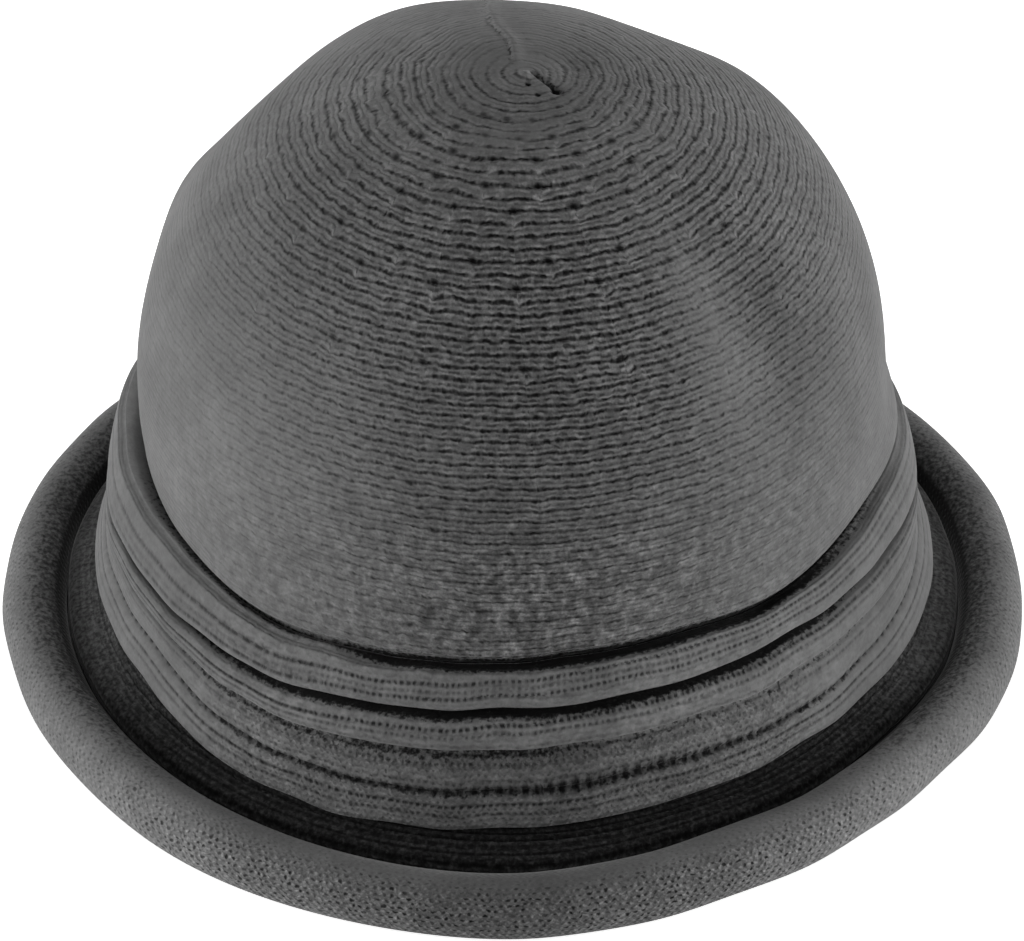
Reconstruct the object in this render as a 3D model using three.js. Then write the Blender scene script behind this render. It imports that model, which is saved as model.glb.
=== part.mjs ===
// A knit cloche hat: a domed crown, a band of four sewn tucks round its foot and a brim with a rolled edge.
// Millimetres, +Z up, the front of the hat toward -Y, the origin under the middle of the brim.

import * as THREE from 'three';
import { mergeVertices } from 'three/addons/utils/BufferGeometryUtils.js';

// Driving dimensions
const WALL = 3.0; // thickness of the knitted cloth
const GAP = 0.3; // clearance between sewn pieces
const CROWN_RADIUS = 94.0; // outside of the crown at its fullest
const CROWN_FULLEST = 74.2; // height of that place above the table
const CROWN_RISE = 91.0; // from there up to the tip
const CROWN_SQUARENESS = 2.2; // 2 is a plain ellipse, more is fuller at the shoulder
const BRIM_RADIUS = 121.1; // from the axis to the middle of the rolled edge
const ROLL_HALF_WIDTH = 10.0;
const ROLL_HALF_HEIGHT = 8.6;
const PRESSED = 0.4; // what lies lower than this on the roll is pressed flat on the table
const SEGMENTS = 56; // round the hat

// The line that the band is sewn to, on the outside of the crown, from its top down to the brim
const FOOT_TOP = { radius: 91.4, height: 57.5 };
const FOOT_END = { radius: 104.9, height: 17.7 };
const HEM_AT = 21.0; // how far down that line the crown ends and the brim begins

// The crown's side between its fullest place and the band
const crownSide = [
  { radius: 94.2, height: 67.0 },
  { radius: 93.6, height: 61.0 },
];

// Tucks of the band, from the top: how far down the foot line each starts and ends on a level band, how far
// it stands out, and how deep the crease above it is
const tucks = [
  { top: 0.0, foot: 11.0, stand: 4.5, crease: 2.6 },
  { top: 11.0, foot: 21.0, stand: 4.4, crease: 2.8 },
  { top: 21.0, foot: 31.0, stand: 4.0, crease: 1.3 },
  { top: 31.0, foot: 42.0, stand: 4.2, crease: 1.6 },
];
const HEM_STAND = 2.0; // how far out the last tuck turns under
const HEM_RISES = 2.5; // from there back up to where it meets the brim
const BAND_LIES = 0.5; // how far down from its top line the band's own edge starts

// One tuck in section: share of its length, and share of the crease's depth that is left there
const tuckSection = [
  { along: 0.0, left: 1.0 },
  { along: 0.16, left: 0.38 },
  { along: 0.48, left: 0.06 },
  { along: 0.8, left: 0.0 },
  { along: 0.95, left: 0.34 },
];

// Where the band's lines run, in millimetres down the foot line, by degrees from the front toward +X: its
// top edge, its first crease, its stitched crease and its lower edge. Then how much of the creases is left, how
// far the top tuck flares out from the crown, and how far the crown is full above it or, below 0, drawn in
const bandLines = [
  { turn: -180, top: 2.5, first: 16.0, stitched: 30.0, hem: 39.0, deep: 0.4, flare: 2.5, full: 0.0 },
  { turn: -110, top: 1.5, first: 19.0, stitched: 29.5, hem: 38.0, deep: 0.4, flare: 5.0, full: -0.8 },
  { turn: -85, top: 2.6, first: 19.6, stitched: 28.8, hem: 38.4, deep: 0.55, flare: 4.0, full: -1.2 },
  { turn: -60, top: 2.4, first: 17.6, stitched: 30.0, hem: 38.8, deep: 0.8, flare: 1.5, full: -0.8 },
  { turn: -38, top: 4.0, first: 15.9, stitched: 33.8, hem: 43.4, deep: 1.0, flare: 0.2, full: 0.0 },
  { turn: -20, top: 2.6, first: 13.2, stitched: 33.8, hem: 43.4, deep: 1.0, flare: 0.0, full: 0.0 },
  { turn: 0, top: 1.0, first: 11.6, stitched: 32.1, hem: 41.3, deep: 1.0, flare: 0.0, full: 0.0 },
  { turn: 25, top: 0.0, first: 10.4, stitched: 31.2, hem: 40.6, deep: 1.0, flare: 0.0, full: 0.0 },
  { turn: 42, top: 1.5, first: 10.4, stitched: 32.0, hem: 39.8, deep: 0.95, flare: 0.4, full: 0.3 },
  { turn: 65, top: -0.6, first: 14.2, stitched: 31.8, hem: 42.0, deep: 0.75, flare: 1.8, full: 1.0 },
  { turn: 90, top: 0.5, first: 18.5, stitched: 29.5, hem: 40.5, deep: 0.5, flare: 4.0, full: 4.0 },
  { turn: 115, top: 1.5, first: 18.0, stitched: 30.0, hem: 39.5, deep: 0.4, flare: 3.5, full: 1.5 },
  { turn: 180, top: 2.5, first: 16.0, stitched: 30.0, hem: 39.0, deep: 0.4, flare: 2.5, full: 0.0 },
];
const SECOND_SHARE = 0.48; // the second crease lies this far from the first to the stitched one
const FLARE_FROM = 2.0; // the flare is whole down to here along the foot line
const FLARE_TO = 34.0; // and gone from here on
const FLARE_IN = 0.7; // cloth that stands out less than this isn't flared
const FLARE_OUT = 2.4; // and cloth that stands out this far is flared fully
const FULL_AT = 60.0; // height at which the crown's side is fullest
const FULL_REACH = 12.0; // how far up and down from there that tells
const FULL_FROM = 0.5; // the fullness starts this far above the foot line's top
const FULL_BY = 5.0; // and is whole from here up
const PINCH_FROM = 76.0; // the crown's side follows the band's top edge below this height
const PINCH_TO = 60.0; // and moves fully with it from here
const PINCH_FREE = 52.0; // down to here

// Middle of the brim's cloth, from the foot of the band out to the roll
const brimSlope = [
  { radius: 102.5, height: 19.9 },
  { radius: 103.4, height: 16.9 },
  { radius: 105.8, height: 14.7 },
  { radius: 109.6, height: 13.3 },
  { radius: 112.5, height: 11.8 },
];

// The roll's section: the cloth goes down, under, up and over, and its free edge lies inside
const ROLL_START = -1; // degrees past the roll's inner side at which the cloth enters it
const ROLL_STEP = 26; // degrees between rows of its section
const ROLL_STEPS = 15;
const ROLL_TUCK_FROM = 225; // degrees at which the free edge starts to go in
const ROLL_TUCK_TO = 345; // degrees at which it lies fully inside

// Soft dents and full places of the crown: turn is degrees from the front toward +X, rise is degrees
// above level seen from the crown's middle, wide is the reach in degrees, push is how far out
const crownShape = [
  { name: 'full back left', turn: -153, rise: 49, wide: 11, push: 2.0 },
  { name: 'dent upper left', turn: -120, rise: 39, wide: 9, push: -2.8 },
  { name: 'full lower left', turn: -110, rise: 26, wide: 9, push: 1.3 },
  { name: 'full right shoulder', turn: 118, rise: 32, wide: 22, push: 1.1 },
  { name: 'dent back right', turn: 145, rise: 49, wide: 9, push: -2.8 },
  { name: 'fold front right, upper end', turn: 43, rise: 54, wide: 7, push: -0.9 },
  { name: 'fold front right, middle', turn: 43, rise: 43, wide: 7, push: -1.2 },
  { name: 'fold front right, lower end', turn: 44, rise: 31, wide: 8, push: -1.5 },
  { name: 'dimple beside the tip', turn: 120, rise: 82, wide: 7, push: -0.8 },
];
const CROWN_MIDDLE = 70.0; // height from which turn and rise are seen
const DENTS_FADE_FROM = 52.0; // below this height the dents have gone
const DENTS_FADE_TO = 80.0;

// How far the brim's outline lies outside a true circle, by degrees from the front toward +X
const brimOutline = [
  { turn: -180, out: 0.0 },
  { turn: -130, out: -1.8 },
  { turn: -100, out: 0.7 },
  { turn: -75, out: 1.2 },
  { turn: -50, out: 1.2 },
  { turn: -25, out: 1.8 },
  { turn: 0, out: 2.0 },
  { turn: 25, out: -1.6 },
  { turn: 50, out: -1.5 },
  { turn: 75, out: 1.4 },
  { turn: 100, out: 0.7 },
  { turn: 130, out: -3.0 },
  { turn: 180, out: 0.0 },
];
const OUTLINE_FROM = 94.0; // radius at which the brim's outline starts to tell
const OUTLINE_TO = 116.0; // radius at which it tells fully

const CHARCOAL = 0x3b3b3c;

function smoothStep(from, to, value) {
  return THREE.MathUtils.smoothstep(value, from, to);
}

function direction(turn, rise) {
  const t = THREE.MathUtils.degToRad(turn);
  const r = THREE.MathUtils.degToRad(rise);
  return new THREE.Vector3(Math.sin(t) * Math.cos(r), -Math.cos(t) * Math.cos(r), Math.sin(r));
}

// Degrees from the front toward +X
function turnOf(point) {
  return THREE.MathUtils.radToDeg(Math.atan2(point.x, -point.y));
}

// Eased value of one column of a table whose rows go round by turn
function around(table, column, turn) {
  const next = Math.max(table.findIndex((row) => turn <= row.turn), 1);
  const before = table[next - 1];
  const after = table[next];
  const share = smoothStep(before.turn, after.turn, turn);
  return before[column] + (after[column] - before[column]) * share;
}

// The brim reaches further at the front than at the back, so its middle is set back by half of that
const SET_BACK = (around(brimOutline, 'out', 0) - around(brimOutline, 'out', 180)) / 2;

// The hat as it has settled: every piece is made round and then moved by this one rule, so clearances hold
function settle(point) {
  const middle = new THREE.Vector3(0, 0, CROWN_MIDDLE);
  const away = point.clone().sub(middle).normalize();
  const dented = smoothStep(DENTS_FADE_FROM, DENTS_FADE_TO, point.z);
  const moved = point.clone();
  for (const place of crownShape) {
    const off = THREE.MathUtils.radToDeg(away.angleTo(direction(place.turn, place.rise)));
    const push = place.push * dented * Math.exp(-((off / place.wide) ** 2));
    moved.addScaledVector(away, push);
  }
  const radius = Math.hypot(moved.x, moved.y);
  if (radius > OUTLINE_FROM) {
    const told = smoothStep(OUTLINE_FROM, OUTLINE_TO, radius);
    const out = around(brimOutline, 'out', turnOf(moved)) * told;
    moved.x *= 1 + out / radius;
    moved.y *= 1 + out / radius;
  }
  moved.y += SET_BACK;
  return moved;
}

// A line beside another one, by a distance to its left seen along it
function beside(line, distance) {
  return line.map((point, i) => {
    const before = line[Math.max(i - 1, 0)];
    const after = line[Math.min(i + 1, line.length - 1)];
    const along = after.clone().sub(before).normalize();
    return new THREE.Vector2(point.x - along.y * distance, point.y + along.x * distance);
  });
}

// A closed section, given down its outside and back up its inside, turned about the axis and settled
function turned(section, name, colour, shape = (point) => point) {
  const round = new THREE.LatheGeometry([...section].reverse(), SEGMENTS);
  round.deleteAttribute('normal');
  round.deleteAttribute('uv');
  round.rotateX(Math.PI / 2);
  const geometry = mergeVertices(round, 1e-3);
  const place = geometry.attributes.position;
  const point = new THREE.Vector3();
  for (let i = 0; i < place.count; i++) {
    point.fromBufferAttribute(place, i);
    const moved = settle(shape(point));
    place.setXYZ(i, moved.x, moved.y, moved.z);
  }
  geometry.computeVertexNormals();
  const wool = new THREE.MeshStandardMaterial({ color: colour, roughness: 0.95, metalness: 0.0 });
  const mesh = new THREE.Mesh(geometry, wool);
  mesh.name = name;
  return mesh;
}

// The foot line in section, and a place given by how far down it and how far out from it
const footStart = new THREE.Vector2(FOOT_TOP.radius, FOOT_TOP.height);
const footFinish = new THREE.Vector2(FOOT_END.radius, FOOT_END.height);
const footAlong = footFinish.clone().sub(footStart).normalize();
const footOut = new THREE.Vector2(-footAlong.y, footAlong.x);
const FOOT_LENGTH = footStart.distanceTo(footFinish);

function onFoot(down, out) {
  return footStart.clone().addScaledVector(footAlong, down).addScaledVector(footOut, out);
}

// A point made in section again, and one turned back to its place round the hat
function sectionOf(point) {
  return new THREE.Vector2(Math.hypot(point.x, point.y), point.z);
}

function roundAt(place, turn) {
  const angle = THREE.MathUtils.degToRad(turn);
  return new THREE.Vector3(place.x * Math.sin(angle), -place.x * Math.cos(angle), place.y);
}

// The crown's side slides along the foot line with the band's top edge and is full above it, and its hem stays
function followBand(point) {
  const turn = turnOf(point);
  const hemHeight = onFoot(HEM_AT, 0).y;
  const freed = smoothStep(hemHeight, PINCH_FREE, point.z);
  const follows = freed * (1 - smoothStep(PINCH_TO, PINCH_FROM, point.z));
  const place = sectionOf(point).addScaledVector(footAlong, around(bandLines, 'top', turn) * follows);
  const near = Math.exp(-(((point.z - FULL_AT) / FULL_REACH) ** 2));
  const above = smoothStep(FULL_FROM, FULL_BY, point.z - FOOT_TOP.height);
  place.x += around(bandLines, 'full', turn) * near * above;
  return roundAt(place, turn);
}

function makeCrown() {
  const domeSteps = 13;
  const power = 2 / CROWN_SQUARENESS;
  const outside = [];
  for (let i = 0; i <= domeSteps; i++) {
    const angle = (Math.PI / 2) * (1 - i / domeSteps);
    const radius = CROWN_RADIUS * Math.max(Math.cos(angle), 0) ** power;
    const height = CROWN_FULLEST + CROWN_RISE * Math.sin(angle) ** power;
    outside.push(new THREE.Vector2(i === 0 ? 0 : radius, height));
  }
  for (const row of crownSide) {
    outside.push(new THREE.Vector2(row.radius, row.height));
  }
  outside.push(onFoot(0, 0));
  outside.push(onFoot(HEM_AT / 2, 0));
  outside.push(onFoot(HEM_AT, 0));
  const inside = beside(outside, -WALL);
  inside[0].set(0, outside[0].y - WALL);
  const section = [...outside, ...inside.reverse()];
  return turned(section, 'crown', CHARCOAL, followBand);
}

// The level band draped: its creases run where bandLines says and are deepest at the front, and its top flares
function drapeBand(point) {
  const turn = turnOf(point);
  const place = sectionOf(point).sub(footStart);
  const down = place.dot(footAlong);
  const out = place.dot(footOut);
  const first = around(bandLines, 'first', turn);
  const stitched = around(bandLines, 'stitched', turn);
  const second = first + (stitched - first) * SECOND_SHARE;
  const lines = [around(bandLines, 'top', turn), first, second, stitched, around(bandLines, 'hem', turn)];
  const at = Math.max(tucks.findLastIndex((row) => down >= row.top - 1e-6), 0);
  const tuck = tucks[at];
  const share = (down - tuck.top) / (tuck.foot - tuck.top);
  const moved = lines[at] + (lines[at + 1] - lines[at]) * share;
  const lost = out > GAP + 0.1 ? 1 - around(bandLines, 'deep', turn) : 0;
  const stands = out + (tuck.stand - out) * lost;
  const flared = (1 - smoothStep(FLARE_FROM, FLARE_TO, down)) * smoothStep(FLARE_IN, FLARE_OUT, stands);
  return roundAt(onFoot(moved, stands + around(bandLines, 'flare', turn) * flared), turn);
}

function makeBand() {
  const section = [onFoot(BAND_LIES, GAP)];
  for (const tuck of tucks) {
    for (const row of tuckSection) {
      const down = tuck.top + (tuck.foot - tuck.top) * row.along;
      section.push(onFoot(down, tuck.stand - tuck.crease * row.left));
    }
  }
  const hem = tucks[tucks.length - 1].foot;
  section.push(onFoot(hem, HEM_STAND));
  section.push(onFoot(hem - HEM_RISES, GAP));
  section.push(onFoot(HEM_AT, GAP));
  section.push(onFoot(HEM_AT / 2, GAP));
  section.push(section[0].clone());
  return turned(section, 'tucked_band', CHARCOAL, drapeBand);
}

function makeBrim() {
  const middle = [onFoot(HEM_AT + GAP, -WALL / 2)];
  middle.push(onFoot((HEM_AT + FOOT_LENGTH) / 2, -WALL / 2));
  for (const row of brimSlope) {
    middle.push(new THREE.Vector2(row.radius, row.height));
  }
  for (let i = 0; i <= ROLL_STEPS; i++) {
    const turn = ROLL_START + ROLL_STEP * i;
    const tucked = (WALL + GAP) * smoothStep(ROLL_TUCK_FROM, ROLL_TUCK_TO, turn);
    const angle = Math.PI + THREE.MathUtils.degToRad(turn);
    const reach = ROLL_HALF_WIDTH - WALL / 2 - tucked;
    const lift = ROLL_HALF_HEIGHT - WALL / 2 - tucked;
    const radius = BRIM_RADIUS + reach * Math.cos(angle);
    middle.push(new THREE.Vector2(radius, ROLL_HALF_HEIGHT + lift * Math.sin(angle)));
  }
  const under = beside(middle, -WALL / 2);
  for (const point of under) {
    point.y = point.y < PRESSED ? 0 : point.y;
  }
  const section = [...beside(middle, WALL / 2), ...under.reverse()];
  section.push(section[0].clone());
  return turned(section, 'rolled_brim', CHARCOAL);
}

const hat = new THREE.Group();
hat.name = 'knit_cloche_hat';
hat.add(makeCrown());
hat.add(makeBand());
hat.add(makeBrim());

export default hat;
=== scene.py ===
import math

import bpy
import numpy as np
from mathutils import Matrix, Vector


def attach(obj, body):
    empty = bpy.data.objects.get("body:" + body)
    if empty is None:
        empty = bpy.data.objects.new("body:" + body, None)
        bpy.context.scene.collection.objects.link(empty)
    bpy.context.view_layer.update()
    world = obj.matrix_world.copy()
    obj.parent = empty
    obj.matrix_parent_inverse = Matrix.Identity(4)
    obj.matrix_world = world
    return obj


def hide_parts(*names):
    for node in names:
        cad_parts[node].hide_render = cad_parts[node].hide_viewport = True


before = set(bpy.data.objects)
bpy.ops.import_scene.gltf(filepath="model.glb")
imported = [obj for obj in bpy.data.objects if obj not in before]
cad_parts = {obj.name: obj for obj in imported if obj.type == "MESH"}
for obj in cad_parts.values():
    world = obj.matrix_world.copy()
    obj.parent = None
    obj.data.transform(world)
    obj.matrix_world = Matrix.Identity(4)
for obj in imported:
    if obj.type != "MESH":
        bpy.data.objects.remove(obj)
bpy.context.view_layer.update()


def table(columns, *rows):
    """Rows of values with named columns."""
    return [dict(zip(columns.split(), row)) for row in rows]


# Sizes are in millimetres and turned into metres when a mesh is made. The front of the hat is toward -Y, and
# a turn is counted in degrees from the front toward +X.
MM = 0.001
WALL = 3.0
GAP = 0.3
CROWN_RADIUS = 94.0
CROWN_FULLEST = 74.2
CROWN_RISE = 91.0
CROWN_SQUARENESS = 2.2
BRIM_RADIUS = 121.1
ROLL_HALF_WIDTH = 10.0
ROLL_HALF_HEIGHT = 8.6

# The line that the band is sewn to, on the outside of the crown, from its top down to the brim
FOOT_TOP = np.array([91.4, 57.5])
FOOT_END = np.array([104.9, 17.7])
HEM_AT = 21.0
FOOT_LENGTH = float(np.linalg.norm(FOOT_END - FOOT_TOP))
FOOT_ALONG = (FOOT_END - FOOT_TOP) / FOOT_LENGTH
FOOT_OUT = np.array([-FOOT_ALONG[1], FOOT_ALONG[0]])

CROWN_SIDE = [(94.2, 67.0), (93.6, 61.0)]
# Dents and fuller places of the crown, seen from a point inside it, and the heights between which they begin
CROWN_PLACES = table(
    "turn rise wide push",
    (-153, 49, 11, 2.0),
    (-120, 39, 9, -2.8),
    (-110, 26, 9, 1.3),
    (118, 32, 22, 1.1),
    (145, 49, 9, -2.8),
    (45, 54, 7, -1.1),
    (47, 42, 7, -1.9),
    (49, 30, 8, -2.7),
    (38, 37, 5, 0.7),
    (120, 82, 7, -0.8),
)
CROWN_MIDDLE = 70.0
DENTS_FADE = (52.0, 80.0)

# How far the brim's outline goes out of round, and the radii between which it begins to
BRIM_OUTLINE = table(
    "turn out",
    (-180, 0.0),
    (-130, -1.8),
    (-100, 0.7),
    (-75, 1.2),
    (-50, 1.2),
    (-25, 1.8),
    (0, 2.0),
    (25, -1.6),
    (50, -1.5),
    (75, 1.4),
    (100, 0.7),
    (130, -3.0),
    (180, 0.0),
)
OUTLINE_TELLS = (94.0, 116.0)

# Tucks of the band: where each lies down the foot line on a level band, how far it stands out, how deep and
# wide the crease above it is, and how dark the painted shade in that crease is
TUCKS = table(
    "top foot stand crease opens shade",
    (0.0, 11.0, 4.5, 3.7, 0.55, 1.0),
    (11.0, 21.0, 4.4, 3.7, 1.15, 1.0),
    (21.0, 31.0, 4.0, 1.2, 1.0, 0.35),
    (31.0, 42.0, 4.2, 1.0, 0.7, 0.25),
)
# Round the hat: where the tucks begin and the band ends, how far down the upper tucks' fine lines are drawn,
# how deep the creases are and how dark their painted shade is, how far the top tuck flares out, and how full
# the crown is above it
BAND_LINES = table(
    "turn top first stitched hem lean deep dark flare full",
    (-180, 2.5, 16.0, 30.0, 39.0, 0.0, 0.4, 0.3, 2.5, 0.0),
    (-110, 1.2, 16.6, 28.5, 37.0, 1.0, 0.4, 0.02, 5.0, -0.8),
    (-85, 0.4, 15.4, 27.3, 36.2, 1.5, 0.55, 0.03, 4.0, -1.2),
    (-60, 1.0, 15.6, 28.0, 38.0, 1.7, 0.8, 0.3, 1.0, -0.4),
    (-38, 3.7, 15.9, 33.0, 42.7, 1.7, 1.0, 0.85, 0.2, 0.0),
    (-20, 2.0, 13.5, 33.4, 43.0, 1.0, 1.0, 1.0, 0.0, 0.0),
    (-10, 1.3, 12.0, 32.9, 42.2, 0.7, 1.0, 1.0, 0.0, 0.0),
    (0, 0.6, 11.4, 32.0, 41.1, 0.0, 1.0, 1.0, 0.0, 0.0),
    (9, -0.5, 10.6, 31.0, 40.8, -0.7, 1.0, 1.0, 0.0, 0.0),
    (25, -0.8, 10.2, 30.4, 40.6, -0.8, 1.0, 1.0, 0.0, 0.0),
    (42, 0.8, 10.0, 31.0, 39.8, -0.6, 0.95, 1.0, 0.4, 0.3),
    (65, -1.0, 11.6, 29.9, 39.8, -0.6, 0.75, 0.35, 1.4, 1.0),
    (90, -0.6, 15.4, 24.8, 38.2, 0.0, 0.5, 0.04, 4.0, 4.0),
    (115, 1.5, 17.0, 28.5, 38.5, 0.0, 0.4, 0.02, 3.5, 1.5),
    (180, 2.5, 16.0, 30.0, 39.0, 0.0, 0.4, 0.3, 2.5, 0.0),
)
# Where the crease above the third tuck lies, between the first and the stitched one, and how much of it fades
# between two turns
SECOND_SHARE = 0.48
SECOND_FADES = 0.6
SECOND_FADE_TURNS = (2, 14)
# How far down the band the flare dies out, and how far out the cloth stands that takes part in it
FLARE_FADE = (2.0, 34.0)
FLARE_STANDS = (0.7, 2.6)
# The heights between which the crown's foot follows the top of the band and stops to, and at which height and
# how far from it the crown is full or drawn in
PINCH_FADE = (60.0, 76.0)
PINCH_FREE = 52.0
FULL_AT = 60.0
FULL_REACH = 12.0
FULL_ABOVE = (0.5, 5.0)

# The brim's slope by radius and height, the degrees at which its roll is given, and where the roll tucks in
BRIM_SLOPE = [(102.5, 19.9), (103.4, 16.9), (105.8, 14.7), (109.6, 13.3), (112.5, 11.8)]
ROLL_START = -1
ROLL_STEP = 26
ROLL_STEPS = 15
ROLL_TUCK = (225.0, 345.0)

# The knitting: how wide a wale of the band is, where the crown's first line lies from its tip, how wide the
# crown's wales are down from there, and how long its stitches
WALE = 3.3
FIRST_WALE = 8.84
WALE_AT = [
    (0, 3.237), (28, 3.237), (34, 4.1), (41, 3.35), (76, 3.2),
    (86, 3.05), (92, 2.87), (150, 2.75), (400, 2.75),
]
STITCH = 1.6


# Plain shapes


def ease(low, high, value):
    share = np.clip((np.asarray(value, float) - low) / (high - low), 0, 1)
    return share * share * (3 - 2 * share)


def bump(offset, reach):
    return np.exp(-((offset / reach) ** 2))


def lead(ends, share):
    """ends are a start and what a whole share adds to it."""
    return ends[0] + ends[1] * share


def from_front(turn):
    """A turn as from -180 to 180 degrees."""
    return (turn + 180) % 360 - 180


def around(rows, column, turn):
    """The eased value of a column of a table whose rows go round by turn."""
    turn = from_front(np.asarray(turn, float))
    value = np.zeros_like(turn)
    for before, after in zip(rows, rows[1:]):
        here = (turn >= before["turn"]) & (turn <= after["turn"])
        share = ease(before["turn"], after["turn"], turn)
        value = np.where(here, before[column] + (after[column] - before[column]) * share, value)
    return value


def direction(turn, rise):
    t, r = math.radians(turn), math.radians(rise)
    return np.array([math.sin(t) * math.cos(r), -math.cos(t) * math.cos(r), math.sin(r)])


def on_foot(down, out):
    """The radius and height of a place down the foot line and out from it."""
    down, out = np.broadcast_arrays(np.asarray(down, float), np.asarray(out, float))
    return FOOT_TOP + down[..., None] * FOOT_ALONG + out[..., None] * FOOT_OUT


def lengths(line):
    return np.concatenate([[0], np.cumsum(np.linalg.norm(np.diff(line, axis=0), axis=1))])


def through(points, spacing):
    """A smooth line through points, with a place every so many millimetres."""
    points = np.asarray(points, float)
    ends = np.vstack([2 * points[0] - points[1], points, 2 * points[-1] - points[-2]])
    steps = 24
    share = np.linspace(0, 1, steps, endpoint=False)[:, None]
    parts = []
    for a, b, c, d in zip(ends, ends[1:], ends[2:], ends[3:]):
        curve = 2 * b + (c - a) * share + (2 * a - 5 * b + 4 * c - d) * share**2
        parts.append(0.5 * (curve + (3 * b - a - 3 * c + d) * share**3))
    fine = np.vstack(parts + [points[-1:]])
    length = lengths(fine)
    count = max(int(round(length[-1] / spacing)), 2) + 1
    at = np.linspace(0, length[-1], count)
    return np.stack([np.interp(at, length, fine[:, k]) for k in range(fine.shape[1])], -1)


def wale_count(path):
    """How many wales lie between the tip and a place down the crown."""
    step = 0.25
    fine = np.arange(0, WALE_AT[-1][0], step)
    count = np.cumsum(step / np.interp(fine, *zip(*WALE_AT)))
    return np.interp(path, fine, count - np.interp(FIRST_WALE, fine, count) + 1)


def beside(line, distance):
    """The line beside another, to its left as it is followed."""
    along = np.gradient(line, axis=0)
    along /= np.linalg.norm(along, axis=1, keepdims=True)
    return line + distance * np.stack([-along[:, 1], along[:, 0]], -1)


def settle(places):
    """The hat as it has settled: dents of the crown and the brim's own outline."""
    away = places - np.array([0, 0, CROWN_MIDDLE])
    away /= np.maximum(np.linalg.norm(away, axis=-1, keepdims=True), 1e-6)
    dented = ease(*DENTS_FADE, places[..., 2])
    moved = places.copy()
    for place in CROWN_PLACES:
        toward = away @ direction(place["turn"], place["rise"])
        off = np.degrees(np.arccos(np.clip(toward, -1, 1)))
        moved += (place["push"] * dented * bump(off, place["wide"]))[..., None] * away
    radius = np.hypot(moved[..., 0], moved[..., 1])
    turn = np.degrees(np.arctan2(moved[..., 0], -moved[..., 1]))
    out = around(BRIM_OUTLINE, "out", turn) * ease(*OUTLINE_TELLS, radius)
    moved[..., :2] *= (1 + out / np.maximum(radius, 1))[..., None]
    set_back = (around(BRIM_OUTLINE, "out", 0) - around(BRIM_OUTLINE, "out", 180)) / 2
    moved[..., 1] += set_back
    return moved


# Soft hand-made unevenness: how much it is, how many millimetres from high to low, and the seed of its draws
UNEVEN = {
    "clear": (0.4, 9, 5), "wale": (0.2, 10, 6), "crown": (0.25, 26, 3),
    "band_down": (0.35, 13, 11), "band_out": (0.3, 20, 12), "brim": (0.28, 18, 21),
}
WAVES = 7
WAVES_VARY = (0.6, 1.4)


def uneven(places, of):
    by, reach, seed = UNEVEN[of]
    chance = np.random.default_rng(seed)
    total = np.zeros(places.shape[:-1])
    for _ in range(WAVES):
        way = chance.normal(size=3)
        way *= math.pi / reach / np.linalg.norm(way) * chance.uniform(*WAVES_VARY)
        total += np.sin(places @ way + chance.uniform(0, 2 * math.pi))
    return by * (total / math.sqrt(WAVES))


# Meshes from grids: rows go down the outside and back up the inside, columns go round


def facing(places, closed):
    """The outward direction at every place of a grid."""
    if closed:
        down = np.roll(places, -1, 0) - np.roll(places, 1, 0)
    else:
        down = np.gradient(places, axis=0)
    across = np.roll(places, -1, 1) - np.roll(places, 1, 1)
    out = np.cross(down, across)
    return out / np.maximum(np.linalg.norm(out, axis=-1, keepdims=True), 1e-9)


def grid_mesh(name, places, closed, knit, masks):
    """A grid that is closed round its section, or ends in two fans at the tip. knit gives wales and stitches,
    each with a left and a right value for every cell."""
    rows, columns = places.shape[:2]
    index = np.arange(rows * columns).reshape(rows, columns)
    after = np.roll(index, -1, 1)
    top, right_top = (index, after) if closed else (index[:-1], after[:-1])
    below, right_below = [np.roll(here, -1, 0) if closed else here[1:] for here in (index, after)]
    faces = np.stack([top, below, right_below, right_top], -1).reshape(-1, 4).tolist()
    uv = np.stack(
        [np.stack([left[:-1], left[1:], right[1:], right[:-1]], -1).reshape(-1) for left, right in knit], -1
    )
    points = places.reshape(-1, 3)
    if not closed:
        first = len(points)
        points = np.vstack([points, places[0].mean(0), places[-1].mean(0)])
        faces += [[first, here, beyond] for here, beyond in zip(index[0].tolist(), after[0].tolist())]
        faces += [[first + 1, beyond, here] for here, beyond in zip(index[-1].tolist(), after[-1].tolist())]
        uv = np.vstack([uv, np.zeros((2 * 3 * columns, 2))])
    mesh = bpy.data.meshes.new(name)
    mesh.from_pydata(points * MM, [], faces)
    mesh.polygons.foreach_set("use_smooth", np.ones(len(faces), bool))
    layer = mesh.uv_layers.new(name="knit")
    layer.data.foreach_set("uv", uv.reshape(-1).astype(np.float32))
    for label, values in masks.items():
        values = np.broadcast_to(values, (rows, columns))
        extra = [] if closed else [values[0].mean(), values[-1].mean()]
        flat = np.concatenate([values.reshape(-1), extra])
        attribute = mesh.attributes.new(label, "FLOAT", "POINT")
        attribute.data.foreach_set("value", flat.astype(np.float32))
    mesh.validate()
    piece = bpy.data.objects.new(name, mesh)
    bpy.context.scene.collection.objects.link(piece)
    return piece


def round_grid(total, columns, rows):
    """Even steps of a total going round the hat, the same on every row."""
    return np.repeat(np.arange(columns)[None, :] * total / columns, rows, 0)


def round_places(radius, height, turn):
    angle = np.radians(turn)
    return np.stack([radius * np.sin(angle), -radius * np.cos(angle), height + 0 * angle], -1)


# The crown, knitted sideways in gores: its wales run round it, and short rows end along every gore
GORES = 20
GORE = 360 / GORES
# Degrees across a gore: where its short rows near the middle end, and where the mesh has columns
GORE_HALVES_AT = 8.0
GORE_COLUMNS = [0.15, 1.1, 2.8, 4.8, 6.6, 7.85, 8.15, 9.2, 10.9, 13.0, 15.2, 16.9, 17.85]
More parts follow.
